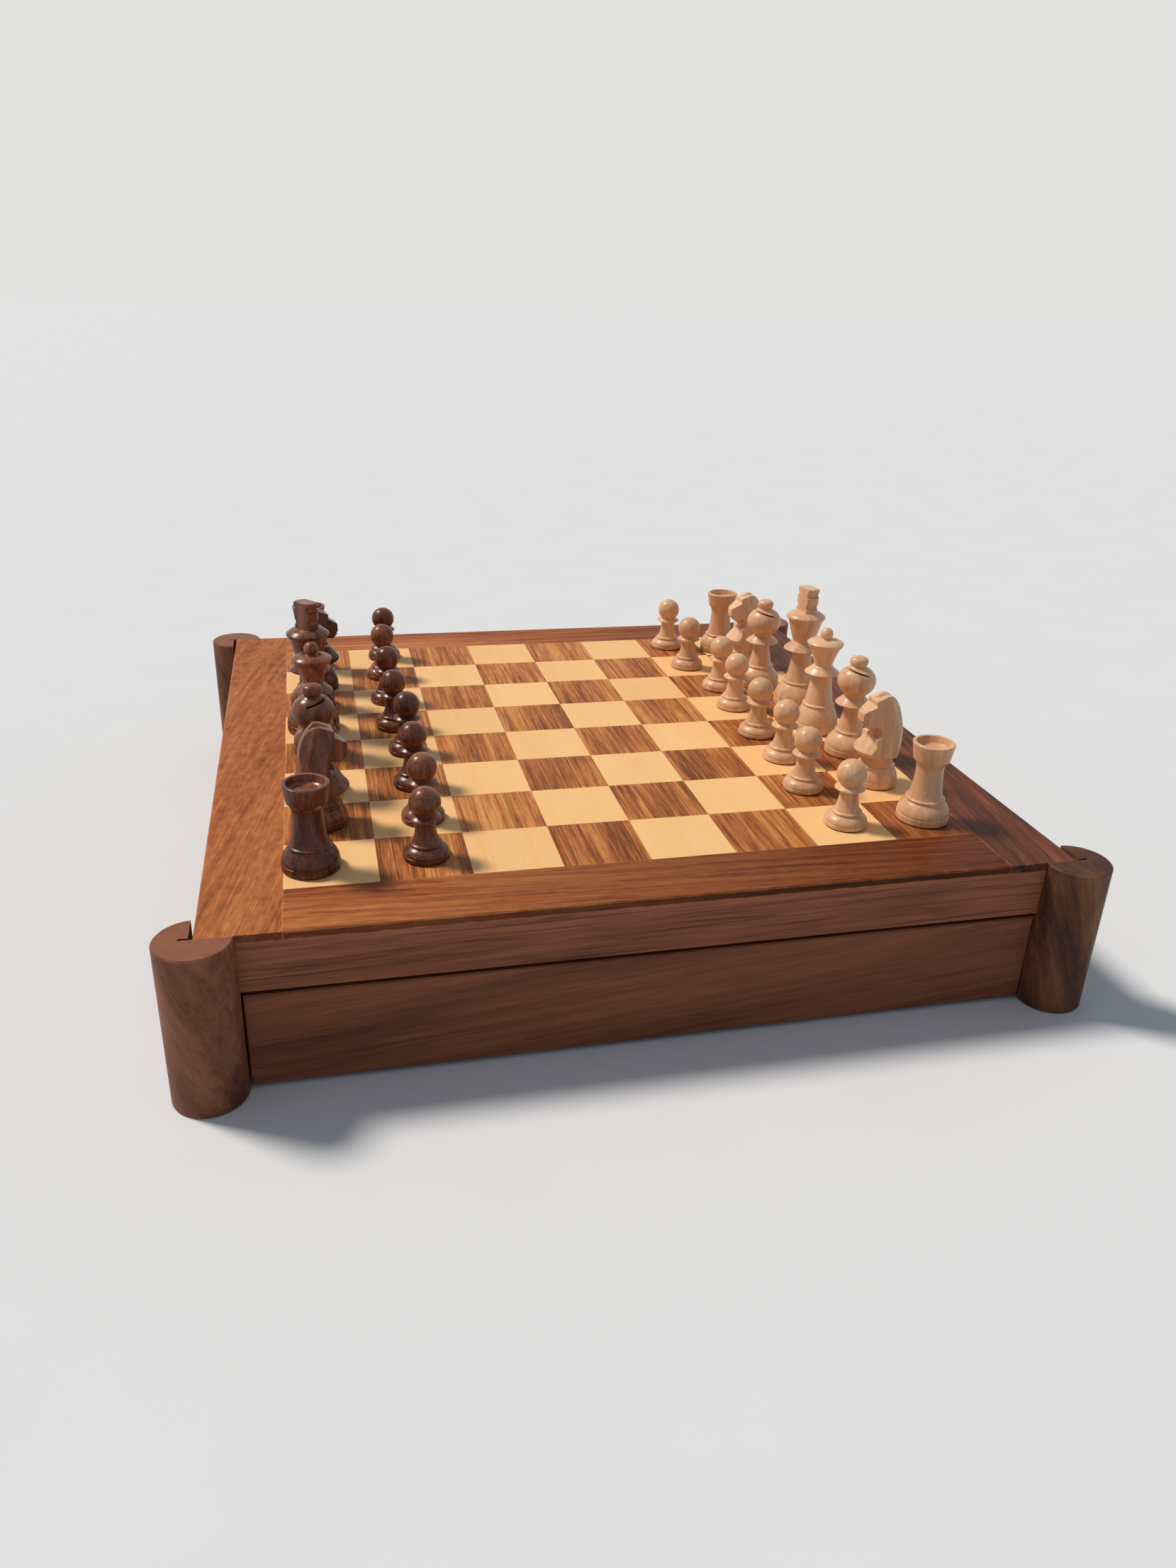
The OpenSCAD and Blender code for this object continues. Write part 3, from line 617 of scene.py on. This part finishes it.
# For each wood the colour of its dark lines, of most of it and of its palest streaks, for srgb.
WOODS = {
    "border": ((118, 60, 34), (184, 105, 57), (216, 141, 82)),
    "border_left": ((124, 68, 38), (176, 101, 54), (204, 130, 76)),
    # border_right: darker wood, and in part painted shade where the light falls off to the right
    "border_right": ((52, 26, 16), (94, 50, 32), (136, 72, 42)),
    "apron": ((84, 50, 36), (150, 90, 66), (176, 110, 80)),
    "front": ((84, 47, 34), (124, 72, 50), (150, 90, 64)),
    "post": ((80, 48, 34), (120, 74, 54), (144, 94, 72)),
    "post_right": ((64, 40, 29), (100, 63, 45), (136, 90, 62)),
    "light_square": ((246, 184, 118), (253, 200, 134), (254, 208, 146)),
    "dark_square": ((122, 66, 34), (188, 113, 58), (222, 154, 88)),
    "drawer": ((172, 130, 86), (204, 162, 114), (222, 186, 140)),
    "plywood": ((150, 112, 72), (186, 148, 102), (205, 170, 124)),
    "light_piece": ((190, 139, 100), (226, 178, 135), (244, 204, 164)),
    "dark_piece": ((52, 28, 20), (113, 61, 42), (160, 98, 66)),
}
FELT_GREEN = srgb(34, 70, 48)
# thickness and colours of the dark band along the bottom of each piece's foot
FOOT_BAND_T, LIGHT_FOOT_BAND, DARK_FOOT_BAND = 0.45, srgb(30, 25, 24), srgb(16, 12, 11)
# what the strips at the near and left edge share (upright faces darker, in part as painted shade,
# and edges paled strongly for wear and a painted highlight), and the posts, and the squares
NEAR_EDGE = dict(side_tint=(0.42, 0.38, 0.46), edge_wear_and_highlight=0.9, edge=0.9)
POST_FIGURE = dict(veins=0.1, specular=0.12, band=6)
SQUARES = dict(cells=SQUARE, lines=square_seams)

plain = plywood("plywood")
green_felt = felt("felt", FELT_GREEN)
apron_x = timber("apron_wood", "X", "apron", broad=0.6, streaks=0.8, fibres=0.5, rings=0.3,
                 veins=0.6, specular=0.15, tilt=(0, 0.015, 0),
                 darkening=("Z", 53, 38, (0.76, 0.72, 0.7)))
front_x = timber("front_wood", "X", "front", broad=0.8, streaks=0.55, fibres=0.6, rings=0.12,
                 veins=0.3, band=9, specular=0.15, tilt=(0, 0.09, 0), offset=(15, 230, 60))
side_y = timber("side_wood", "Y", "front", streaks=0.7, fibres=0.5, rings=0.15, veins=0.35,
                specular=0.15, offset=(40, 0, 9))
# the posts' edges paled strongly, for wear and a painted highlight round the top
post_z = timber("post_wood", "Z", "post", **POST_FIGURE, broad=1.2, streaks=0.6, fibres=0.5,
                rings=0.1, mottle=0.4, tilt=(0.3, 0.45, 0), rides=True,
                end_tint=srgb(152, 98, 72), edge_wear_and_highlight=0.9, edge=1.2)
post_right = timber("post_wood_right", "Z", "post_right", **POST_FIGURE, broad=1.6, streaks=0.7,
                    fibres=0.4, rings=0.2, mottle=0.3, tilt=(0.2, 0.3, 0), offset=(12, 7, 0),
                    end_tint=srgb(52, 27, 19))
# the near strip darker towards the right: painted shade where the light falls off
border_near = timber("border_wood_x", "X", "border", **NEAR_EDGE, band=9, streaks=1.1, fibres=0.7,
                     rings=0.2, mottle=0.35, veins=0.4, specular=0.1, tilt=(0, 0, 0.04),
                     darkening=("X", -135, 100, (0.28, 0.2, 0.18)))
# the far strip darker towards the right: painted shade where the light falls off; its upright faces
# darker, in part as painted shade
border_far = timber("border_wood_far", "X", "border", band=9, streaks=1.1, fibres=0.7, rings=0.2,
                    mottle=0.2, specular=0.08, darkening=("X", -60, 150, (0.4, 0.36, 0.4)),
                    side_tint=(0.7, 0.62, 0.6), edge_wear_and_highlight=0.2, offset=(90, 300, 0))
border_left = timber("border_wood_left", "Y", "border_left", **NEAR_EDGE, band=9, broad=0.6,
                     streaks=0.6, fibres=0.8, rings=0.08, mottle=0.75, veins=0.2, pores=1.0,
                     specular=0.08, tilt=(0, 0, 0.2), offset=(30, 0, 0))
# the right strip in the darker border_right colours, in part painted shade; its upright faces a
# little darker
border_right = timber("border_wood_right", "Y", "border_right", band=9, streaks=1.2, rings=0.2,
                      mottle=0.2, specular=0.12, tilt=(0, 0, 0.1), side_tint=(0.8, 0.75, 0.7),
                      edge_wear_and_highlight=0.3, offset=(160, 40, 0))
drawer_wood = timber("drawer_wood", "XY", "drawer", broad=0.5, streaks=0.6, fibres=0.4, rings=0.15,
                     veins=0.15, edge_wear_and_highlight=0.2, rough=0.6, specular=0.15)
light_squares = timber("light_squares", "Y", "light_square", **SQUARES, broad=0.5, streaks=0.25,
                       fibres=0.3, rings=0.04, veins=0.0, pores=0.05, differ=0.3)
# the dark squares darker towards the right edge: painted shade where the light falls off
dark_squares = timber("dark_squares", "Y", "dark_square", **SQUARES, broad=0.8, streaks=1.4,
                      fibres=1.1, rings=0.15, mottle=0.25, veins=0.5, pores=0.8, specular=0.12,
                      darkening=("X", 70, 118, (0.55, 0.42, 0.45)))
PIECE_FINISH = {
    "light": timber("light_pieces", "Z", "light_piece", broad=0.6, streaks=0.6, fibres=0.4,
                    rings=0.12, veins=0.08, pores=0.2, rough=0.32, specular=0.35, differ=0.6,
                    rides=True, dark_foot_band=(FOOT_BAND_T, LIGHT_FOOT_BAND)),
    "dark": timber("dark_pieces", "Z", "dark_piece", streaks=0.9, fibres=0.6, rings=0.15,
                   veins=0.2, rough=0.26, specular=0.28, differ=0.6, rides=True,
                   dark_foot_band=(FOOT_BAND_T, DARK_FOOT_BAND)),
}

# ---- the case, the board and the drawers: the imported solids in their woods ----

FINISHES = {
    "board_core": plain, "light_squares": light_squares, "dark_squares": dark_squares,
    "border_near": border_near, "border_far": border_far,
    "border_left": border_left, "border_right": border_right,
    "corner_post_near_left": post_z, "corner_post_near_right": post_right,
    "corner_post_far_left": post_z, "corner_post_far_right": post_z,
    "side_panel_left": side_y, "side_panel_right": side_y,
    "base_panel": plain, "base_felt": green_felt, "drawer_divider": plain,
}
for side in ("near", "far"):
    FINISHES["apron_" + side] = apron_x
    FINISHES[side + "_drawer_front"] = front_x
    FINISHES[side + "_drawer_bottom"] = plain
    FINISHES[side + "_drawer_frame"] = FINISHES[side + "_drawer_slats"] = drawer_wood
    FINISHES[side + "_drawer_lining"] = green_felt
for node, material in FINISHES.items():
    nodes[node].data.materials.clear()
    nodes[node].data.materials.append(material)

# ---- the pieces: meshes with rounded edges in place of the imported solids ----

MESHES = {
    "pawn": shaded(turned("pawn", eased(pawn()))),
    "rook": shaded(turned("rook", eased(rook()))),
    "knight": shaded(knight_mesh(), 60),
    "bishop": shaded(bishop_mesh()),
    "queen": shaded(turned("queen", eased(queen()))),
    "king": shaded(king_mesh()),
}
DARK_MESHES = {kind: mesh.copy() for kind, mesh in MESHES.items()}
for kind, mesh in MESHES.items():
    DARK_MESHES[kind].name = kind + ".dark"
    DARK_MESHES[kind].materials.append(PIECE_FINISH["dark"])
    mesh.materials.append(PIECE_FINISH["light"])

TURNED_BY = {"light_king_e": 10, "dark_knight_b": 9, "dark_king_e": 40, "dark_knight_g": 12}


def set_out(colour, kind, node):
    meshes, facing = (MESHES, 0) if colour == "light" else (DARK_MESHES, 180)
    o = placed(f"{node}.turned", meshes[kind])
    o.location = foot_place(node)
    o.rotation_euler.z = math.radians(facing + TURNED_BY.get(node, 0))
    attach(o, node)
    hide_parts(node)


for colour in ("light", "dark"):
    for kind, file in zip(BACK_ROW, FILES):
        set_out(colour, kind, f"{colour}_{kind}_{file}")
    for file in FILES:
        set_out(colour, "pawn", f"{colour}_pawn_{file}")

# ---- floor, light and camera, in metres and degrees ----

FLOOR_HALF = 6.0
FLOOR_TONES = srgb(232, 233, 234), srgb(234, 235, 236)
KEY_FROM, KEY_SPREAD = (-0.65, 0.43, 1.0), 12
KEY_POWER, KEY_COLOUR = 2.8, (1.0, 0.94, 0.86)
SKY_POWER, SKY_COLOUR = 0.29, (0.74, 0.85, 1.0)
BACKDROP = srgb(226, 226, 224)
CAMERA_AT = (-0.10752, -0.45744, 0.24382)
AZIMUTH, ELEVATION, ROLL = 14.076, 24.403, 2.166
SENSOR_MM, LENS_MM = 36, 26.18
NEAREST, FARTHEST = 0.01, 50


def floor():
    bm = bmesh.new()
    bmesh.ops.create_grid(bm, x_segments=1, y_segments=1, size=FLOOR_HALF)
    mesh = mesh_from(bm, "floor")
    t = Tree("floor")
    speck = t.noise(t.place, 0.02, 3, 0.5)
    colour = t.ramp(speck, (0.3, FLOOR_TONES[0]), (0.7, FLOOR_TONES[1]))
    mesh.materials.append(t.finish(colour, 0.7, speck, 0.005, 0.1, Specular_IOR_Level=0.1))
    o = placed("floor", mesh)


def lamp():
    """A soft light from far away."""
    data = bpy.data.lights.new("key", "SUN")
    data.angle, data.energy, data.color = math.radians(KEY_SPREAD), KEY_POWER, KEY_COLOUR
    o = placed("key", data)
    o.location = KEY_FROM
    o.rotation_euler = (-Vector(KEY_FROM)).to_track_quat("-Z", "Y").to_euler()


def world():
    """Soft light from all round. The camera and mirror-like surfaces see the backdrop instead."""
    w = bpy.data.worlds.new("studio")
    bpy.context.scene.world = w
    w.use_nodes = True
    tree = w.node_tree
    light = tree.nodes["Background"]
    light.inputs["Color"].default_value = (*SKY_COLOUR, 1)
    light.inputs["Strength"].default_value = SKY_POWER
    seen = tree.nodes.new("ShaderNodeBackground")
    seen.inputs["Color"].default_value = (*BACKDROP, 1)
    path = tree.nodes.new("ShaderNodeLightPath")
    shows = path.outputs["Is Camera Ray"]
    for ray in ("Is Glossy Ray", "Is Transmission Ray"):
        either = tree.nodes.new("ShaderNodeMath")
        either.operation = "MAXIMUM"
        tree.links.new(shows, either.inputs[0])
        tree.links.new(path.outputs[ray], either.inputs[1])
        shows = either.outputs[0]
    pick = tree.nodes.new("ShaderNodeMixShader")
    tree.links.new(shows, pick.inputs[0])
    tree.links.new(light.outputs[0], pick.inputs[1])
    tree.links.new(seen.outputs[0], pick.inputs[2])
    tree.links.new(pick.outputs[0], tree.nodes["World Output"].inputs["Surface"])


def camera():
    data = bpy.data.cameras.new("camera")
    data.sensor_width, data.lens = SENSOR_MM, LENS_MM
    data.clip_start, data.clip_end = NEAREST, FARTHEST
    o = placed("camera", data)
    azimuth, elevation, roll = (math.radians(a) for a in (AZIMUTH, ELEVATION, ROLL))
    turn = Matrix.Rotation(-azimuth, 4, "Z") @ Matrix.Rotation(math.pi / 2 - elevation, 4, "X")
    o.matrix_world = Matrix.Translation(CAMERA_AT) @ turn @ Matrix.Rotation(roll, 4, "Z")
    bpy.context.scene.camera = o


floor()
lamp()
world()
camera()
bpy.context.scene.view_settings.view_transform = "Standard"
